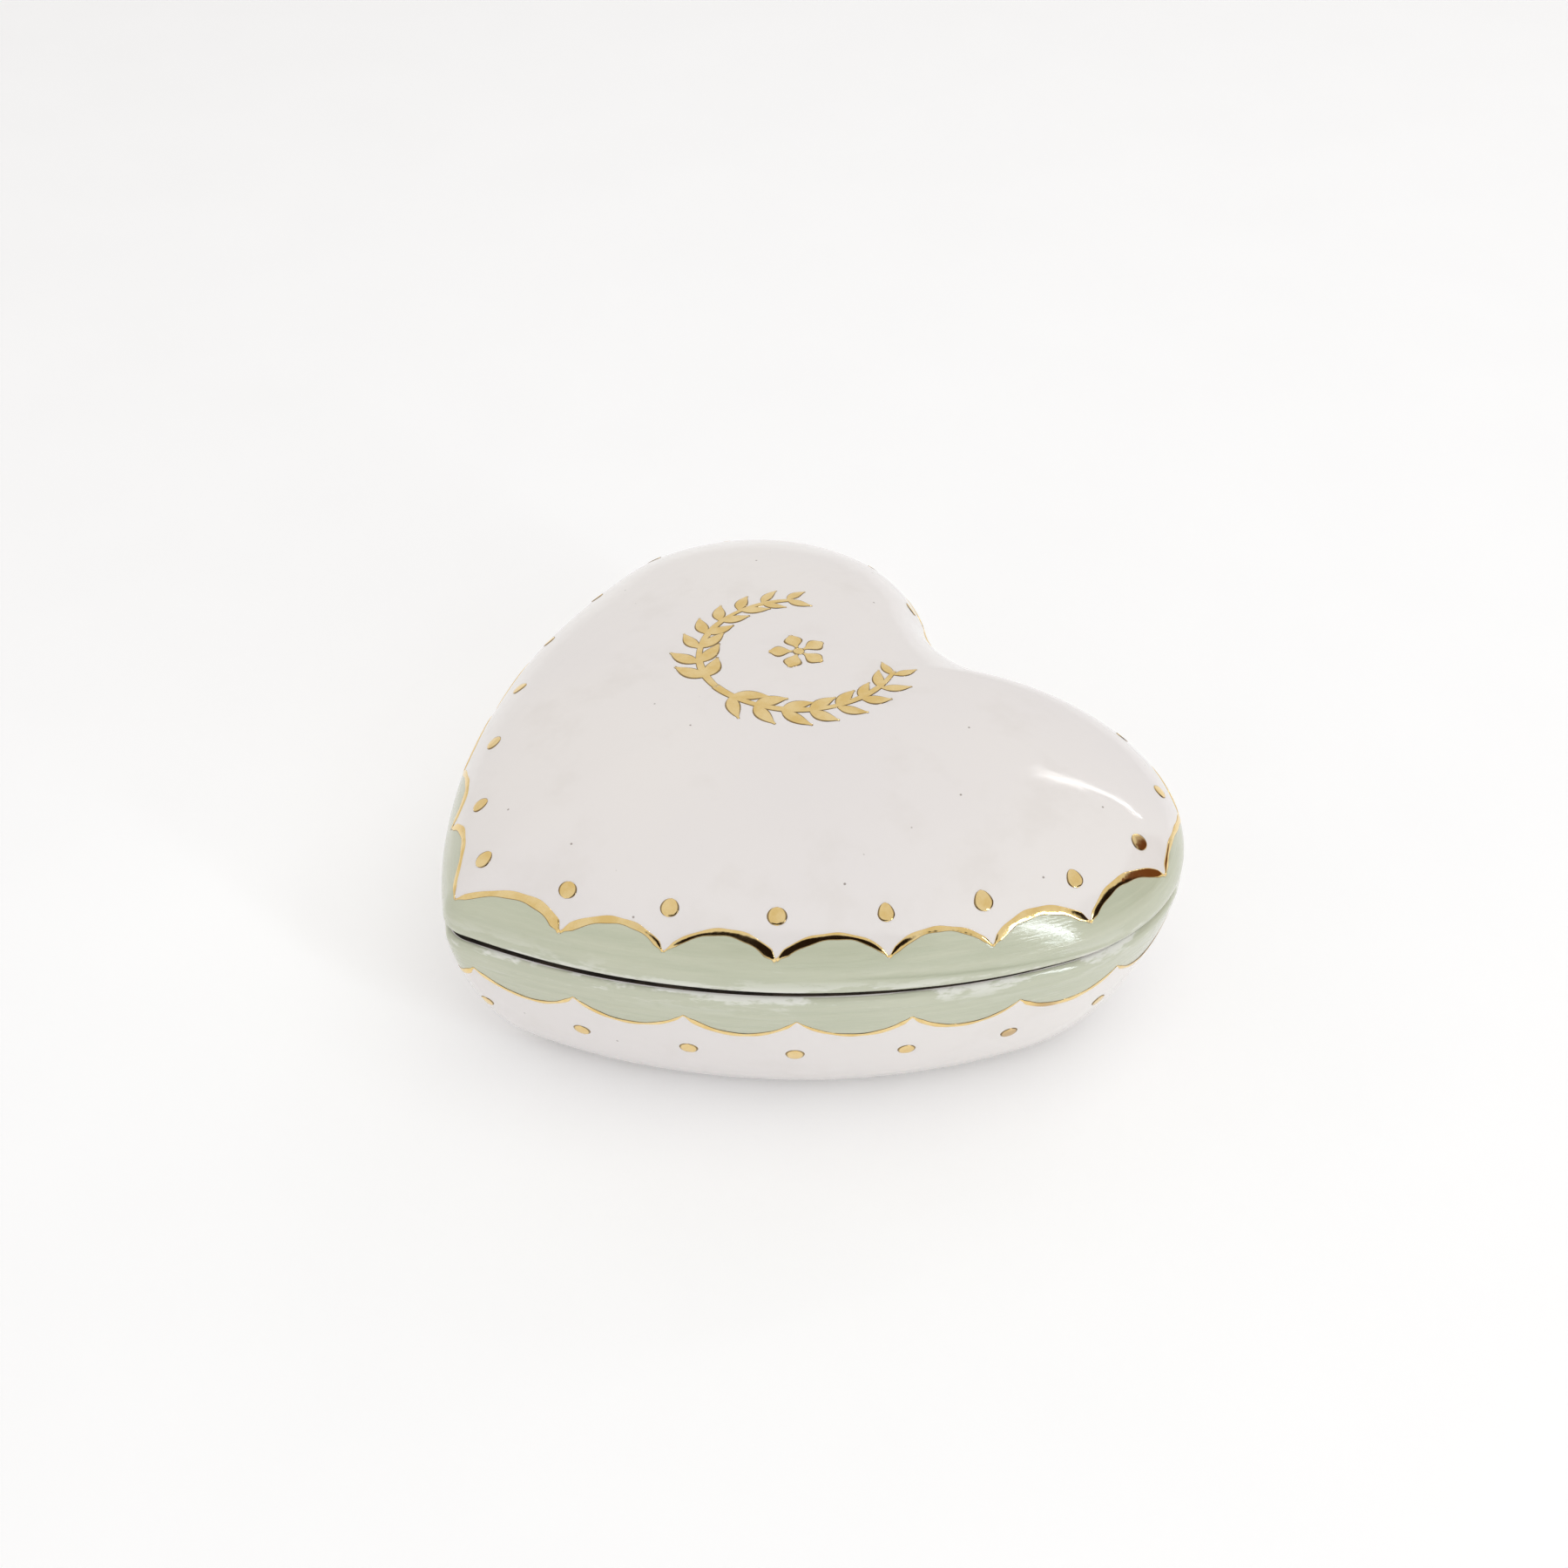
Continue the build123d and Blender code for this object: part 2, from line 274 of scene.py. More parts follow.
# ---- meshes ----
GLAZED = 0
BARE = 1
# the SEAT finish is the painted seam shade on the bare rims
SEAT = 2


def mesh_piece(name, body, node, verts, faces, materials, finishes=None, shade=None):
    """A closed, smooth-shaded mesh piece, in millimetres, that rides on a body and stands for a CAD node."""
    mesh = bpy.data.meshes.new(name)
    mesh.from_pydata((np.asarray(verts) * MM).tolist(), [], faces)
    for material in materials:
        mesh.materials.append(material)
    if finishes is not None:
        mesh.polygons.foreach_set("material_index", finishes)
    if shade is not None:
        layer = mesh.attributes.new("shade", "FLOAT", "POINT")
        layer.data.foreach_set("value", np.asarray(shade, np.float32))
    work = bmesh.new()
    work.from_mesh(mesh)
    bmesh.ops.recalc_face_normals(work, faces=work.faces)
    work.to_mesh(mesh)
    work.free()
    mesh.polygons.foreach_set("use_smooth", [True] * len(mesh.polygons))
    piece = bpy.data.objects.new(name, mesh)
    bpy.context.collection.objects.link(piece)
    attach(piece, body)
    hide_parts(node)


def ring_faces(start, count, rings):
    """Quads between neighbouring closed rings of count points each."""
    faces = []
    for ring in range(rings - 1):
        low = start + ring * count
        for k in range(count):
            after = (k + 1) % count
            faces.append((low + k, low + after, low + count + after, low + count + k))
    return faces


def shell(profile, lid):
    """Vertices, faces and finishes of a casting, from a profile that starts and ends on the crown's axis."""
    around = np.linspace(-HALF, HALF, STATIONS, endpoint=False)
    place = station(around)
    verts = []
    for z, inset, _ in profile[1:-1]:
        x, y = level_xy(*place, np.full(STATIONS, inset))
        verts.append(np.stack([x, y, np.full(STATIONS, z)], axis=1))
    rings = len(verts)
    verts.append(np.array([[0, CROWN_Y, profile[0][0]], [0, CROWN_Y, profile[-1][0]]]))
    verts = cast(np.vstack(verts))
    if lid:
        verts = seated(verts)
    faces = ring_faces(0, STATIONS, rings)
    finishes = [int(profile[1 + ring][2]) for ring in range(rings - 1) for _ in range(STATIONS)]
    first = rings * STATIONS
    for k in range(STATIONS):
        faces.append((first, (k + 1) % STATIONS, k))
        faces.append((first + 1, first - STATIONS + k, first - STATIONS + (k + 1) % STATIONS))
    finishes += [GLAZED] * (2 * STATIONS)
    return verts, faces, finishes


def marked(curve, kind):
    """A stretch of profile with its finish."""
    return [(z, inset, kind) for z, inset in curve]


def lid_profile():
    """From the crown down the dome, round the rim and the flange, and up inside to the crown."""
    flange_low = SEAM_Z - FLANGE_DEPTH
    round_off = 0.8
    outer = quarter(flange_low + round_off, 0, round_off, -90, 6)[::-1]
    outer[:, 1] = FLANGE_OUT + round_off - outer[:, 1]
    inner = quarter(flange_low + round_off, FLANGE_IN - round_off, round_off, -90, 6)
    ledge = [(SEAM_Z, 2.4), (SEAM_Z, 3.4)]
    root = [(SEAM_Z - 0.12, 3.85), (SEAM_Z - 0.5, FLANGE_OUT), (SEAM_Z - 1.4, FLANGE_OUT)]
    return (
        [(HEIGHT, HALF_WIDTH, GLAZED)]
        + marked(dome_curve(0, HEIGHT, 80)[::-1], GLAZED)
        + marked(rim_turns[:SEAT_TURNS:-1][1:], GLAZED)
        + marked([*rim_turns[SEAT_TURNS::-1]] + ledge, SEAT)
        + marked(root, BARE)
        + marked(outer, BARE)
        + marked(inner, BARE)
        + marked([(SEAM_Z - 1.2, FLANGE_IN), (SEAM_Z, FLANGE_IN)], GLAZED)
        + marked(dome_curve(FLANGE_IN, HEIGHT - LID_WALL, 50), GLAZED)
        + [(HEIGHT - LID_WALL, HALF_WIDTH, GLAZED)]
    )


def base_profile():
    """From the middle of the underside, round the foot ring, up the side, over the rim and down inside."""
    ring_in = FOOT_INSET + FOOT_RING_WIDTH
    recess = [(FOOT_RECESS, inset) for inset in np.linspace(HALF_WIDTH - 1, ring_in + 1.2, 14)]
    step = [(FOOT_RECESS - 0.1, ring_in + 0.5), (FOOT_RECESS - 0.5, ring_in + 0.15)]
    step += [(0.35, ring_in), (0.1, ring_in - 0.1)]
    foot = [(0.0, ring_in - 0.4), (0.0, ring_in - 2.2), (0.0, FOOT_INSET + 0.6)]
    side = bowl_curve(0, 0, BASE_SHOULDER, 50)[::-1]
    inside_round = quarter(SEAM_Z - 0.8, BASE_WALL - 0.8, 0.8, 0, 6)[::-1]
    inside = [row for row in bowl_curve(BASE_WALL, BASE_FLOOR, SEAM_Z, 50) if row[0] < SEAM_Z - 0.9]
    return (
        [(FOOT_RECESS, HALF_WIDTH, GLAZED)]
        + marked(recess + step, GLAZED)
        + marked(foot, BARE)
        + marked(side, GLAZED)
        + marked(base_turns[:SEAT_TURNS:-1][1:], GLAZED)
        + marked([*base_turns[SEAT_TURNS::-1]] + [(SEAM_Z, 1.9)], SEAT)
        + marked(inside_round, GLAZED)
        + marked(inside, GLAZED)
        + marked([(BASE_FLOOR, inset) for inset in np.linspace(20, HALF_WIDTH - 1, 14)], GLAZED)
        + [(BASE_FLOOR, HALF_WIDTH, GLAZED)]
    )


def drift(along):
    """How far the hand strayed along the rim from even spacing, in front of the lid."""
    wrapped = (along + HALF) % (2 * HALF) - HALF
    return 0.9 * np.exp(-(((wrapped - 15) / 9) ** 2)) - 2.2 * np.exp(-(((wrapped - 90) / 22) ** 2))


def far_side(along, low, from_tip):
    """1 round the front of the lid, easing to low round its back, where the painting sits lower."""
    wrapped = (along + HALF) % (2 * HALF) - HALF
    right = np.clip((wrapped - 92) / 35, 0, 1)
    left = np.clip((-wrapped - from_tip) / 30, 0, 1)
    back = np.maximum(right, left)
    return 1 - (1 - low) * back * back * (3 - 2 * back)


def scallop_edge(skin, along, cusp, shift):
    """Distance up from the rim of the scalloped edge at each distance along the outline."""
    even = along - drift(along - drift(along)) if skin.lid else along
    across = np.clip((even - shift) % PITCH - PITCH / 2, -PITCH / 2, PITCH / 2)
    radius = (PITCH**2 / 4 + ARCH_RISE**2) / (2 * ARCH_RISE)
    edge = cusp + np.sqrt(radius**2 - across**2) - (radius - ARCH_RISE)
    return edge * far_side(along, FAR_LINE, 12) if skin.lid else edge


def band(skin, cusp, shift, start):
    """A glaze layer from the rim to the scalloped edge, feathered in at both, with a thick run on the lid
    whose line is darkened as painted shade.
    """
    around = np.linspace(-HALF, HALF, 1540, endpoint=False)
    edge = scallop_edge(skin, around, cusp, shift)
    rows = np.linspace(0, 1, 31)
    swell = 0.09 * np.sin(around * 0.31) + 0.07 * np.sin(around * 0.83 + 1)
    past = np.clip((around - 45) / 50, 0, 1)
    run_up = 3.5 - 1.9 * past * past
    run = np.exp(-(((around - 72) / 24) ** 2)) if skin.lid else 0 * around
    verts = []
    shade = []
    for share in rows:
        up = start + (edge - start) * share
        in_run = run * np.exp(-(((up - run_up) / 0.28) ** 2))
        # shade: near 1 at the rim, where the glaze is thin, and below 0 along the run, where the material
        # paints a darker line as painted shade of the ridge
        shade.append(np.exp(-(up - start) / 2.0) - in_run)
        lift = GREEN_LIFT * (1 + swell) * min(share * 14, (1 - share) * 14, 1) - 0.01 + RUN_LIFT * in_run
        verts.append(skin.at(around, up, lift))
    for share in rows[::-3]:
        verts.append(skin.at(around, start + (edge - start) * share, -SUNK))
        shade.append(np.zeros_like(around))
    count = len(around)
    rings = len(verts)
    faces = ring_faces(0, count, rings)
    last = (rings - 1) * count
    faces += [(last + k, last + (k + 1) % count, (k + 1) % count, k) for k in range(count)]
    return np.vstack(verts), faces, np.concatenate(shade)


def add_stroke(verts, faces, shade, centres, widths, place, one_edge=False):
    """A closed brush stroke: a low ridge along centres, laid down by place, dark on one edge or both."""
    centres = np.asarray(centres, float)
    widths = np.asarray(widths, float)
    ahead = np.gradient(centres, axis=0)
    ahead /= np.linalg.norm(ahead, axis=1)[:, None]
    aside = np.stack([-ahead[:, 1], ahead[:, 0]], axis=1)
    across = np.array([-1, -0.9, -0.8, -0.7, 0, 0.7, 0.8, 0.9, 1.0])
    crown = np.array([-0.6, 0.6, 0.85, 0.96, 1.0, 0.96, 0.85, 0.6, -0.6])
    outline = np.clip((np.where(one_edge, -across, np.abs(across)) - 0.76) / 0.06, 0, 1)
    start = len(verts)
    count = 2 * len(across)
    flat = []
    lifts = []
    tone = []
    for centre, width, side in zip(centres, widths, aside):
        row = centre + np.outer(across, side) * width / 2
        flat.extend(row)
        lifts.extend(GOLD_LIFT * crown * min(1, 0.35 + width))
        tone.extend(outline)
        flat.extend(row[::-1])
        lifts.extend([-SUNK] * len(across))
        tone.extend([1] * len(across))
    points = place(np.array(flat), np.array(lifts))
    verts.extend(points)
    shade.extend(tone)
    faces.extend(ring_faces(start, count, len(centres)))
    faces.append(tuple(start + k for k in range(count))[::-1])
    faces.append(tuple(start + (len(centres) - 1) * count + k for k in range(count)))


def scallop_strokes(skin, cusp, shift, width):
    """One stroke of the liner brush along each scallop."""
    verts, faces, shade = [], [], []
    for number in range(SCALLOPS):
        t = np.linspace(0, 1, 40)
        along = shift + (number + 0.004 + t * 0.992) * PITCH
        if skin.lid:
            along = along + drift(along)
        up = scallop_edge(skin, along, cusp, shift) + 0.12 * np.sin(t * 5 + rng.uniform(0, 6))
        load = 1 + 0.28 * np.sin(t * 3 + rng.uniform(0, 6)) + 0.12 * np.sin(t * 23 + rng.uniform(0, 6))
        ends = np.clip(np.minimum(t, 1 - t) * 14, 0.35, 1)
        add_stroke(
            verts,
            faces,
            shade,
            np.stack([along, up], axis=1),
            width * load * ends,
            lambda flat, lift: skin.at(flat[:, 0], flat[:, 1], lift),
            True,
        )
    return verts, faces, shade


def dot_strokes(skin, cusp, height, shift, tails):
    """One touch of the brush squarely off each scallop's point: a round drop, some with a small tail."""
    verts, faces, shade = [], [], []
    for number in range(SCALLOPS):
        size = DOT_R * rng.uniform(0.9, 1.12)
        tail = rng.choice([0.0, 0.15, 0.45]) * tails
        lean = rng.normal(0, 0.08)
        t = np.linspace(-1, 1, 17)
        reach = np.where(t < 0, t * size, t * (size + tail))
        widths = 2.28 * size * np.maximum(np.sqrt(1 - t * t) * (1 - 0.3 * tail * np.clip(t, 0, 1)), 0.1)
        along = number * PITCH + shift + rng.normal(0, 0.15)
        up = height
        if skin.lid:
            along = along + drift(along)
            up = height * far_side(along, FAR_DOT, 36)
        stretch, slant, _ = skin.grid_at(along, (cusp + up) / 2)
        along = along - (up - cusp) * slant / stretch
        centre = np.stack([lean * t, reach], axis=1)
        add_stroke(
            verts,
            faces,
            shade,
            centre,
            widths,
            lambda flat, lift: skin.at(*skin.around(along, up, flat), lift),
        )
    return verts, faces, shade


# ---- materials ----
class Nodes:
    """A short way to build one material's node tree."""

    def __init__(self, name):
        self.material = bpy.data.materials.new(name)
        self.material.use_nodes = True
        self.tree = self.material.node_tree
        self.shader = self.tree.nodes["Principled BSDF"]
        self.coords = self.tree.nodes.new("ShaderNodeTexCoord").outputs["Object"]

    def put(self, target, value):
        """Links an output, or sets a plain value."""
        if isinstance(value, bpy.types.NodeSocket):
            self.tree.links.new(value, target)
        else:
            target.default_value = value

    def new(self, kind, inputs=(), **settings):
        node = self.tree.nodes.new(kind)
        for key, value in settings.items():
            setattr(node, key, value)
        for key, value in dict(inputs).items():
            self.put(node.inputs[key], value)
        return node

    def stretched(self, scale):
        return self.new("ShaderNodeMapping", {"Vector": self.coords, "Scale": scale}).outputs["Vector"]

    def noise(self, scale, detail=2.0, rough=0.5, vector=None):
        inputs = {"Vector": vector or self.coords, "Scale": scale, "Detail": detail, "Roughness": rough}
        return self.new("ShaderNodeTexNoise", inputs).outputs["Fac"]

    def band(self, value, low, high, to_low=0.0, to_high=1.0):
        inputs = {"Value": value, "From Min": low, "From Max": high, "To Min": to_low, "To Max": to_high}
        return self.new("ShaderNodeMapRange", inputs, interpolation_type="SMOOTHSTEP").outputs["Result"]

    def blend(self, factor, first, second):
        node = self.new("ShaderNodeMix", data_type="RGBA")
        self.put(node.inputs[0], factor)
        self.put(node.inputs[6], first)
        self.put(node.inputs[7], second)
        return node.outputs[2]

    def times(self, first, second):
        return self.new("ShaderNodeMath", {0: first, 1: second}, operation="MULTIPLY").outputs[0]

    def tinted(self, colour, mask, amount, tint):
        """The colour, taken towards a tint where the mask says, by amount at most."""
        return self.blend(self.times(mask, amount), colour, tint)

    def bump(self, height, strength, distance, normal=None):
        inputs = {"Height": height, "Strength": strength, "Distance": distance}
        if normal is not None:
            inputs["Normal"] = normal
        return self.new("ShaderNodeBump", inputs).outputs["Normal"]

    def finish(self, **inputs):
        for name, value in inputs.items():
            self.put(self.shader.inputs[name.replace("_", " ")], value)
        return self.material


GLAZE = {"IOR": 1.5, "Coat_Weight": 0.35, "Coat_Roughness": 0.05}


def linear(red, green, blue):
    """A colour given as 0 to 255 screen values, as the renderer wants it."""
    return tuple(((c / 255 + 0.055) / 1.055) ** 2.4 for c in (red, green, blue)) + (1.0,)


def pinholes(nodes, scale, size):
    """1 in the middle of scattered tiny pits, 0 elsewhere."""
    cells = nodes.new("ShaderNodeTexVoronoi", {"Vector": nodes.coords, "Scale": scale, "Randomness": 1.0})
    return nodes.band(cells.outputs["Distance"], size * 0.4, size, 1.0, 0.0)


def porcelain():
    nodes = Nodes("porcelain_glaze")
    cloud = nodes.noise(14.0, 3.0)
    mottle = nodes.noise(90.0, 4.0, 0.6)
    colour = nodes.blend(nodes.band(cloud, 0.35, 0.65), linear(237, 232, 228), linear(233, 228, 226))
    colour = nodes.tinted(colour, nodes.band(mottle, 0.5, 0.75), 0.35, linear(223, 217, 211))
    pits = pinholes(nodes, 210.0, 0.05)
    colour = nodes.tinted(colour, pits, 0.75, linear(120, 104, 92))
    swell = nodes.noise(38.0, 1.0)
    skin = nodes.bump(swell, 0.25, 0.0012)
    skin = nodes.bump(nodes.noise(160.0, 2.0), 0.24, 0.0004, skin)
    skin = nodes.bump(pits, 0.4, -0.0001, skin)
    rough = nodes.band(nodes.noise(60.0, 3.0), 0.3, 0.7, 0.07, 0.15)
    return nodes.finish(Base_Color=colour, Roughness=rough, Normal=skin, **GLAZE)


def bisque():
    nodes = Nodes("bare_porcelain")
    grain = nodes.noise(900.0, 5.0, 0.7)
    colour = nodes.blend(grain, linear(226, 219, 208), linear(206, 197, 184))
    return nodes.finish(Base_Color=colour, Roughness=0.78, Normal=nodes.bump(grain, 0.35, 0.0002))


def seat():
    # painted shade: the bare rim seat is coloured near black, mottled between two dark browns, so that the
    # seam between lid and bowl reads as a dark shadow line
    nodes = Nodes("painted_seam_shade")
    grain = nodes.noise(700.0, 5.0, 0.7)
    shade_mottle = nodes.band(nodes.noise(180.0, 4.0, 0.7), 0.35, 0.7)
    colour = nodes.blend(shade_mottle, linear(42, 36, 31), linear(82, 70, 59))
    return nodes.finish(Base_Color=colour, Roughness=0.85, Normal=nodes.bump(grain, 0.35, 0.0002))


def green_glaze():
    nodes = Nodes("sage_green_glaze")
    streaks = nodes.noise(60.0, 5.0, 0.62, nodes.stretched((1.0, 1.0, 16.0)))
    pools = nodes.noise(45.0, 3.0)
    colour = nodes.blend(nodes.band(streaks, 0.3, 0.72), linear(191, 195, 171), linear(202, 204, 181))
    colour = nodes.tinted(colour, nodes.band(pools, 0.35, 0.7), 0.5, linear(193, 197, 173))
    wisps = nodes.band(nodes.noise(85.0, 4.0, 0.7, nodes.stretched((0.7, 0.7, 5.0))), 0.6, 0.74)
    colour = nodes.tinted(colour, wisps, 0.45, linear(224, 224, 212))
    thin_glaze_and_run_shade = nodes.new("ShaderNodeAttribute", attribute_name="shade").outputs["Fac"]
    patches = nodes.band(nodes.noise(130.0, 5.0, 0.7, nodes.stretched((0.45, 0.45, 1.8))), 0.5, 0.57)
    edge = nodes.band(thin_glaze_and_run_shade, 0.0, 1.0)
    colour = nodes.tinted(colour, edge, 0.2, linear(226, 226, 214))
    colour = nodes.tinted(colour, edge, patches, linear(240, 240, 233))
    # painted shade: a darker green line along the run, standing for the shaded side of its ridge
    colour = nodes.blend(nodes.band(thin_glaze_and_run_shade, 0.0, -0.9, 0.0, 0.7), colour, linear(160, 164, 138))
    skin = nodes.bump(streaks, 0.3, 0.0006)
    skin = nodes.bump(nodes.noise(55.0, 1.0), 0.3, 0.0012, skin)
    return nodes.finish(Base_Color=colour, Roughness=0.09, Normal=skin, **GLAZE)


def gold():
    nodes = Nodes("gold_lustre")
    edge = nodes.new("ShaderNodeAttribute", attribute_name="shade").outputs["Fac"]
    wear = nodes.noise(330.0, 4.0, 0.65)
    colour = nodes.blend(nodes.band(wear, 0.3, 0.7), linear(236, 203, 132), linear(248, 222, 164))
    scorch = nodes.band(nodes.noise(70.0, 2.0), 0.62, 0.74)
    colour = nodes.tinted(colour, scorch, 0.5, linear(150, 104, 70))
    colour = nodes.tinted(colour, nodes.band(edge, 0.1, 0.9), 0.8, linear(104, 82, 56))
    rough = nodes.band(wear, 0.2, 0.8, 0.05, 0.14)
    skin = nodes.bump(nodes.noise(260.0, 3.0), 0.22, 0.0004)
    return nodes.finish(Base_Color=colour, Metallic=1.0, Roughness=rough, Normal=skin)


def table_top():
    nodes = Nodes("table_top")
    grain = nodes.noise(30.0, 3.0)
    colour = nodes.blend(grain, linear(250, 250, 250), linear(247, 247, 247))
    glow = {"Emission_Color": colour, "Emission_Strength": 0.11}
    return nodes.finish(Base_Color=colour, Roughness=0.85, **glow)


white = porcelain()
bare = bisque()
green = green_glaze()
gilt = gold()
seam_shade = seat()

# ---- the castings ----
finishes = [white, bare, seam_shade]
lid_verts, lid_faces, lid_finishes = shell(lid_profile(), True)
mesh_piece("lid_casting", "lid", "lid_shell", lid_verts, lid_faces, finishes, lid_finishes)
base_verts, base_faces, base_finishes = shell(base_profile(), False)
mesh_piece("base_casting", "base", "base_bowl", base_verts, base_faces, finishes, base_finishes)

# ---- green glaze, gold lines and gold dots, on the lid and on the bowl ----
for skin, body, cusp, dot, shift, line, tails in (
    (lid_skin, "lid", LID_CUSP, LID_DOT, 0.0, LID_LINE, 1.0),
    (base_skin, "base", BASE_CUSP, BASE_DOT, BASE_SHIFT, BASE_LINE, 0.4),
):
    cusp_up = skin.reach(cusp)
    verts, faces, shade = band(skin, cusp_up, shift, GREEN_START)
    node = f"{body}_green_glaze_band"
    mesh_piece(f"{body}_green_glaze", body, node, verts, faces, [green], shade=shade)
    verts, faces, shade = scallop_strokes(skin, cusp_up, shift, line)
    node = f"{body}_gold_scallops"
    mesh_piece(f"{body}_gold_lines", body, node, verts, faces, [gilt], shade=shade)
    verts, faces, shade = dot_strokes(skin, cusp_up, skin.reach(dot), shift, tails)
    node = f"{body}_gold_dots"
    mesh_piece(f"{body}_gold_drops", body, node, verts, faces, [gilt], shade=shade)

# ---- gold emblem: two leaf sprigs around a blossom, laid on the dome ----
dome = BVHTree.FromPolygons([Vector(v) for v in lid_verts], lid_faces)


def on_dome(flat, lift):
    """Plan points dropped on the dome, each lifted along the dome's normal."""
    placed = []
    for (x, y), up in zip(flat, lift):
        hit, normal, _, _ = dome.ray_cast(Vector((x, y, 2 * HEIGHT)), Vector((0, 0, -1)))
        placed.append(np.array(hit) + np.array(normal) * (up if normal.z > 0 else -up))
    return np.array(placed)


def emblem_strokes():
    """Each stem, leaf and petal as one brush stroke."""
    verts, faces, shade = [], [], []

    def stroke(points, widths):
        centre = np.array([EMBLEM_X, EMBLEM_Y])
        add_stroke(verts, faces, shade, np.asarray(points) + centre, widths, on_dome)

    t = np.linspace(0, 1, 12)
    leaf_form = np.sin(pi * np.clip(t, 0.03, 0.985) ** 0.8)
    for side in (-1, 1):
        walk = np.linspace(0, 1, 60)
        turn = np.radians(-90 + STEM_END * walk)
        points = np.stack([side * (STEM_R * np.cos(turn) - 0.3), STEM_R * np.sin(turn)], axis=1)
        stroke(points, 1.3 - 0.4 * walk + 0.15 * np.sin(walk * 17 + side))
        for number in range(LEAF_PAIRS):
            share = (number + 0.8) / LEAF_PAIRS
            at = radians(STEM_END * share - 90)
            foot = np.array([STEM_R * cos(at), STEM_R * sin(at)])
            for spread in (-36, 36):
                length = 5.6 * (1 - 0.3 * share) * rng.uniform(0.92, 1.08)
                way = at + pi / 2 + radians(spread + rng.normal(0, 4))
                curl = 0.5 * np.sign(spread) * t * (1 - t)
                along = np.outer(t * length, [cos(way), sin(way)])
                points = foot + along + np.outer(curl * 2, [-sin(way), cos(way)])
                points[:, 0] *= side
                stroke(points, 2.6 * (1 - 0.3 * share) * np.maximum(leaf_form, 0.16) * rng.uniform(0.9, 1.1))
    for number in range(5):
        way = radians(90 + 72 * number + rng.normal(0, 3))
        points = np.outer(0.9 + t * 3.4, [cos(way), sin(way)])
        stroke(points, 3.0 * np.maximum(np.sin(pi * np.clip(t, 0.05, 0.97) ** 1.3), 0.2))
    ring = np.linspace(-1, 1, 11)
    stroke(np.stack([ring, 0 * ring], axis=1) * 0.85, 2 * 0.95 * np.sqrt(np.clip(1 - ring**2, 0.02, 1)))
    return verts, faces, shade


verts, faces, shade = emblem_strokes()
mesh_piece("lid_gold_sprig", "lid", "lid_gold_emblem", verts, faces, [gilt], shade=shade)

# ---- floor ----
bpy.ops.mesh.primitive_plane_add(size=8, location=(0, 0, 0))
floor = bpy.context.object
floor.name = "table_top"
floor.data.materials.append(table_top())


# ---- light: a bright, even room, with a narrow window and a strip light on the right ----
def lamp(name, aim, back, distance, size, energy, colour=(1, 1, 1)):
    """A rectangular soft light that shines at aim from the direction back."""
    light = bpy.data.lights.new(name, "AREA")
    light.shape = "RECTANGLE"
    light.size, light.size_y = size
    light.energy = energy
    light.color = colour
    holder = bpy.data.objects.new(name, light)
    back = Vector(back).normalized()
    holder.location = Vector(aim) + back * distance
    holder.rotation_mode = "QUATERNION"
    holder.rotation_quaternion = back.to_track_quat("Z", "Y")
    bpy.context.collection.objects.link(holder)
    return holder


azimuth = radians(52.9)
elevation = radians(38.6)
away = Vector((sin(azimuth) * cos(elevation), -cos(azimuth) * cos(elevation), sin(elevation)))

world = bpy.data.worlds.new("room")
world.use_nodes = True
bpy.context.scene.world = world
room = world.node_tree
way = room.nodes.new("ShaderNodeTexCoord").outputs["Generated"]
ripple = room.nodes.new("ShaderNodeTexNoise")
ripple.inputs["Scale"].default_value = 5.0
room.links.new(way, ripple.inputs["Vector"])


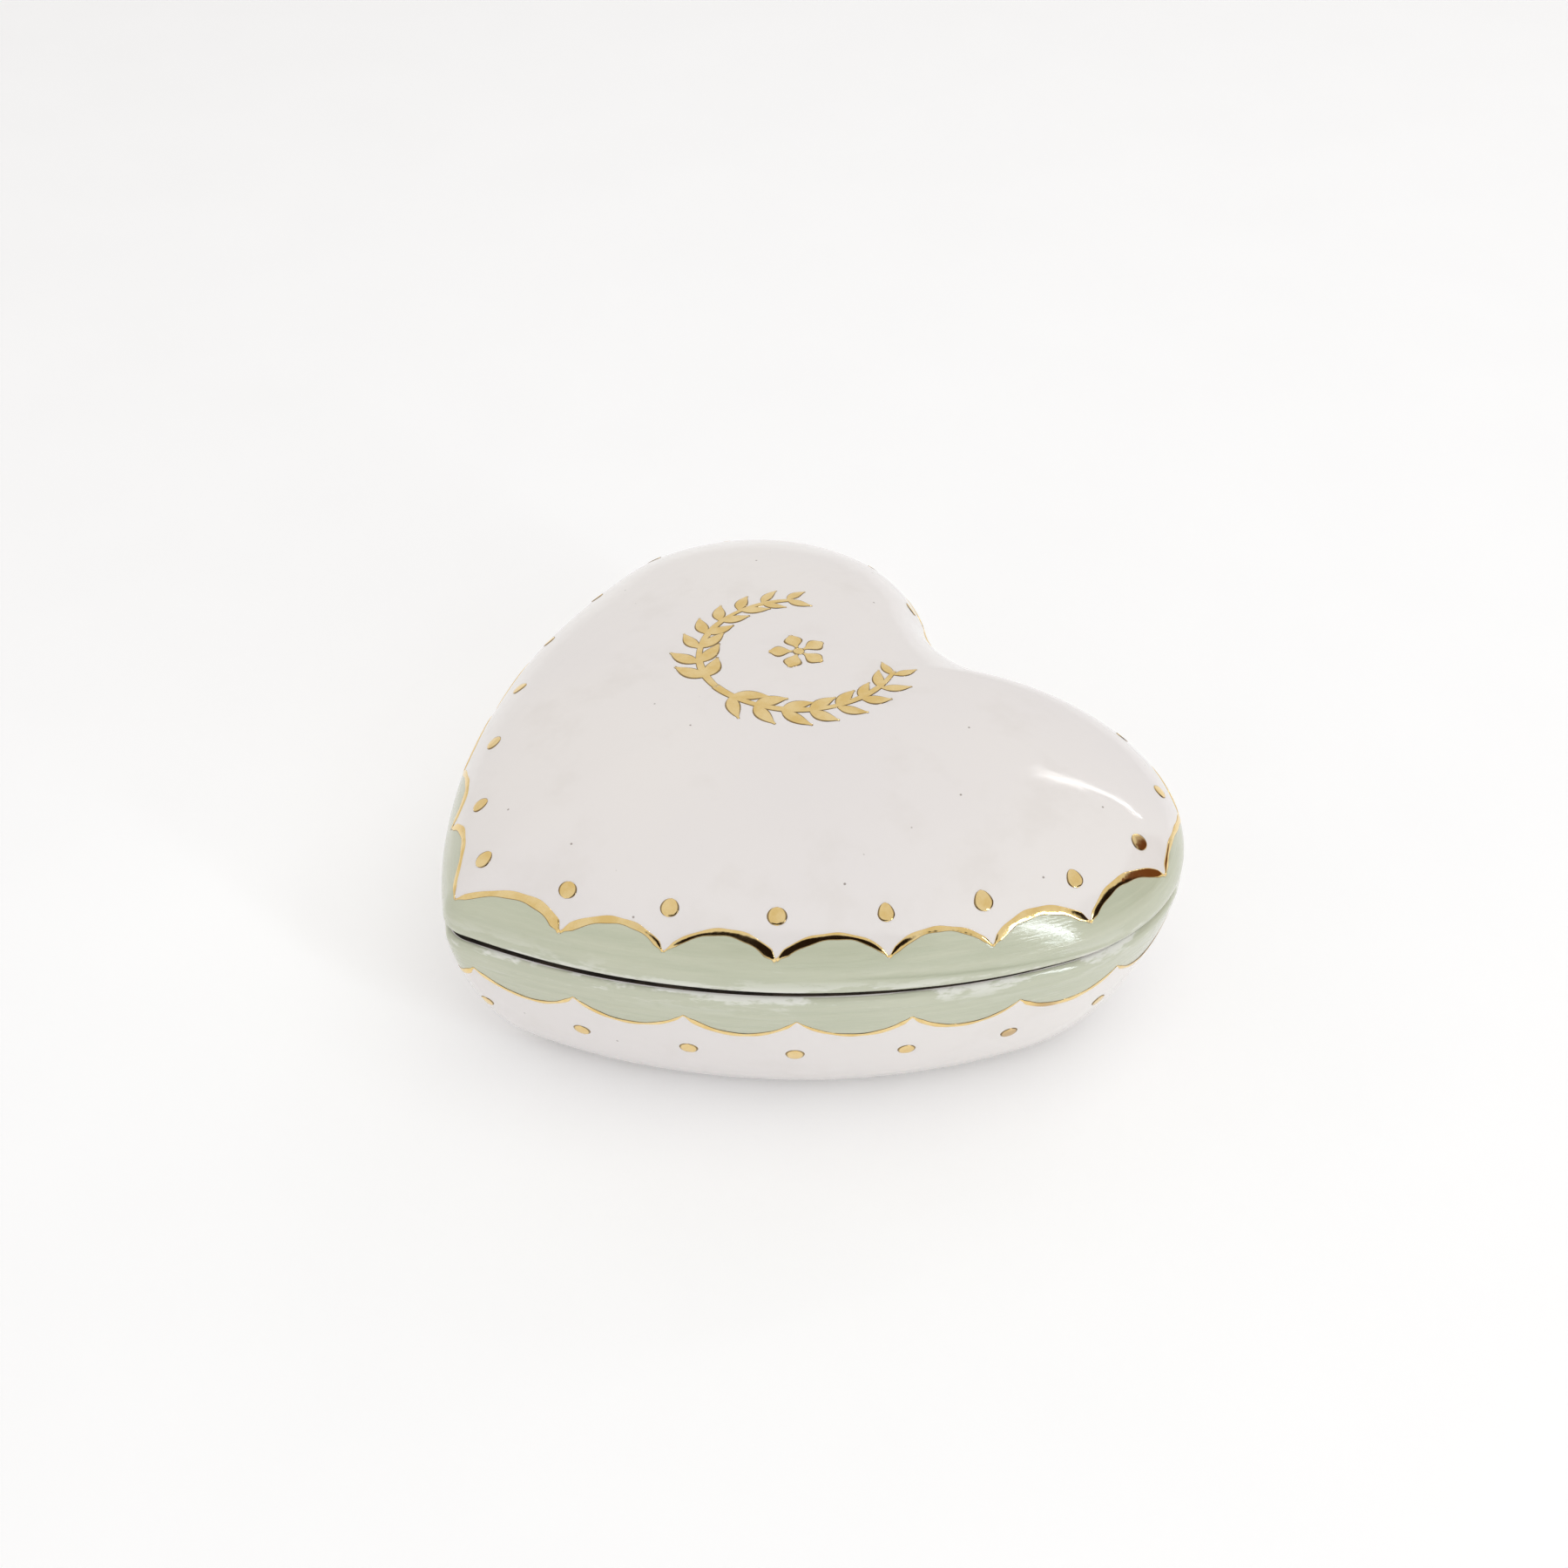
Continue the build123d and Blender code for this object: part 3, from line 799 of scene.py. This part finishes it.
def dark_patch(direction, spread, colour, wall):
    """The room's wall with a darker opening in one direction, its edge uneven."""
    facing = room.nodes.new("ShaderNodeVectorMath")
    facing.operation = "DOT_PRODUCT"
    facing.inputs[1].default_value = Vector(direction).normalized()
    room.links.new(way, facing.inputs[0])
    uneven = room.nodes.new("ShaderNodeMath")
    uneven.operation = "MULTIPLY_ADD"
    uneven.inputs[1].default_value = 0.05
    room.links.new(ripple.outputs["Fac"], uneven.inputs[0])
    room.links.new(facing.outputs["Value"], uneven.inputs[2])
    inside = room.nodes.new("ShaderNodeMapRange")
    inside.inputs["From Min"].default_value = cos(radians(spread)) + 0.02
    inside.inputs["From Max"].default_value = cos(radians(spread)) + 0.035
    room.links.new(uneven.outputs[0], inside.inputs["Value"])
    mixed = room.nodes.new("ShaderNodeMix")
    mixed.data_type = "RGBA"
    mixed.inputs[7].default_value = colour
    room.links.new(wall, mixed.inputs[6])
    room.links.new(inside.outputs["Result"], mixed.inputs[0])
    return mixed.outputs[2]


# three darker places in the room, for bright gold and glaze to reflect
DARK = (0.02, 0.012, 0.01, 1.0)
BROWN = (0.22, 0.09, 0.045, 1.0)
plain = room.nodes.new("ShaderNodeRGB").outputs[0]
plain.default_value = (1.0, 0.988, 0.98, 1.0)
wall = dark_patch(away, 20, DARK, plain)
wall = dark_patch((0.46, 0.86, 0.24), 21, BROWN, wall)
wall = dark_patch((0.766, 0.497, 0.407), 17, DARK, wall)
sky = room.nodes["Background"]
room.links.new(wall, sky.inputs["Color"])
sky.inputs["Strength"].default_value = 0.8
key = lamp("key", (0, 0, 0), (0.35, 0.05, 1.0), 1.3, (1.2, 1.2), 3.75, (1.0, 0.988, 0.98))
key.visible_glossy = False
lamp("window", (0.0515, 0.0123, 0.032), (0.915, 0.125, 0.384), 0.9, (0.045, 0.62), 1.5, (0.86, 0.94, 1.0))
STRIP_TURN = 49
strip = lamp("strip", (0.04, 0.03, 0.038), (-0.144, 0.806, 0.519), 0.8, (0.42, 0.007), 0.16)
strip.rotation_quaternion = strip.rotation_quaternion @ Quaternion((0, 0, 1), radians(STRIP_TURN))

# ---- camera ----
view = bpy.data.cameras.new("camera")
camera = bpy.data.objects.new("camera", view)
bpy.context.collection.objects.link(camera)
camera.location = Vector((-0.0026, 0.00856, 0.0226)) + away * 0.282
camera.rotation_mode = "QUATERNION"
camera.rotation_quaternion = away.to_track_quat("Z", "Y")
view.lens = 43.46
view.sensor_width = 36.0
view.clip_start = 0.01
bpy.context.scene.camera = camera
bpy.context.scene.view_settings.view_transform = "Standard"
